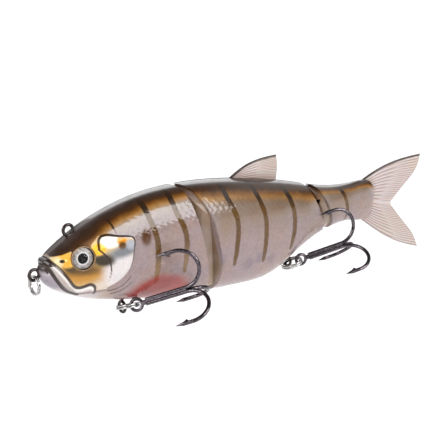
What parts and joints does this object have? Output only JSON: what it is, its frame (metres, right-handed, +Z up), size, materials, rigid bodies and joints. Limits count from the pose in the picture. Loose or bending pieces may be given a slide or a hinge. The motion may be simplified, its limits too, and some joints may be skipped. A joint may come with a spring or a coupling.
{
  "type": "swimbait",
  "caption": "Jointed fish-shaped fishing lure: hinged hollow segments, soft fins, domed eyes, split rings and treble hooks.",
  "frame": {"origin": "centre of the hole of the line-tie eye in front of the nose", "axes": "+X from nose to tail along the lure, +Z up through the back, so the left flank faces -Y when seen with the nose to the left"},
  "size_m": [0.1656, 0.0368, 0.0448],
  "materials": {
    "shell_front": "clear-coated translucent moulded shell with printed gill plates and dark stripes",
    "shell_middle": "clear-coated translucent moulded shell with dark stripes",
    "shell_tail": "clear-coated translucent moulded shell",
    "fin": "soft translucent moulded insert with fine rays",
    "iris": "silver printed foil with a black pupil",
    "lens": "clear polished dome",
    "wire": "darkened stainless wire",
    "ring": "nickel-plated spring steel",
    "hook": "black nickel high-carbon steel",
    "pin": "drawn stainless pin",
    "ballast": "dull lead slug"
  },
  "bodies": {
    "head": {"front_shell_left": "shell_front", "front_shell_right": "shell_front", "nose_line_tie": "wire", "top_line_tie": "wire", "front_hanger": "wire", "front_joint_eye_upper": "wire", "front_joint_eye_lower": "wire", "front_ballast": "ballast", "iris_foil_left": "iris", "iris_foil_right": "iris", "eye_lens_left": "lens", "eye_lens_right": "lens"},
    "middle": {"middle_shell_left": "shell_middle", "middle_shell_right": "shell_middle", "rear_hanger": "wire", "rear_joint_eye_upper": "wire", "rear_joint_eye_lower": "wire", "front_joint_pin": "pin", "middle_ballast": "ballast", "dorsal_fin": "fin"},
    "tail": {"tail_shell_left": "shell_tail", "tail_shell_right": "shell_tail", "rear_joint_pin": "pin", "tail_fin": "fin"},
    "nose_ring": {"nose_split_ring": "ring"},
    "front_ring": {"front_split_ring": "ring"},
    "front_treble": {"front_treble_hook": "hook"},
    "rear_ring": {"rear_split_ring": "ring"},
    "rear_treble": {"rear_treble_hook": "hook"}
  },
  "joints": [
    {"name": "middle_swing", "type": "hinge", "parent": "head", "child": "middle", "pos_m": [0.059, 0, 0], "axis": [0, 0, 1], "range_deg": [-25, 25]},
    {"name": "tail_swing", "type": "hinge", "parent": "middle", "child": "tail", "pos_m": [0.1125, 0, 0], "axis": [0, 0, 1], "range_deg": [-22, 22]},
    {"name": "nose_ring_swing", "type": "hinge", "parent": "head", "child": "nose_ring", "pos_m": [0, 0, -0.00045], "axis": [0, 1, 0], "range_deg": [-10, 100]},
    {"name": "front_ring_swing", "type": "hinge", "parent": "head", "child": "front_ring", "pos_m": [0.0298, 0, -0.016], "axis": [1, 0, 0], "range_deg": [0, 75]},
    {"name": "front_treble_swing", "type": "hinge", "parent": "front_ring", "child": "front_treble", "pos_m": [0.0309, -0.0062, -0.014], "axis": [0.943, 0.2945, -0.1547], "range_deg": [0, 60]},
    {"name": "rear_ring_swing", "type": "hinge", "parent": "middle", "child": "rear_ring", "pos_m": [0.0973, 0, -0.0142], "axis": [1, 0, 0], "range_deg": [0, 75]},
    {"name": "rear_treble_swing", "type": "hinge", "parent": "rear_ring", "child": "rear_treble", "pos_m": [0.099, -0.005, -0.0129], "axis": [0.5413, 0.8378, 0.0713], "range_deg": [0, 60]}
  ]
}
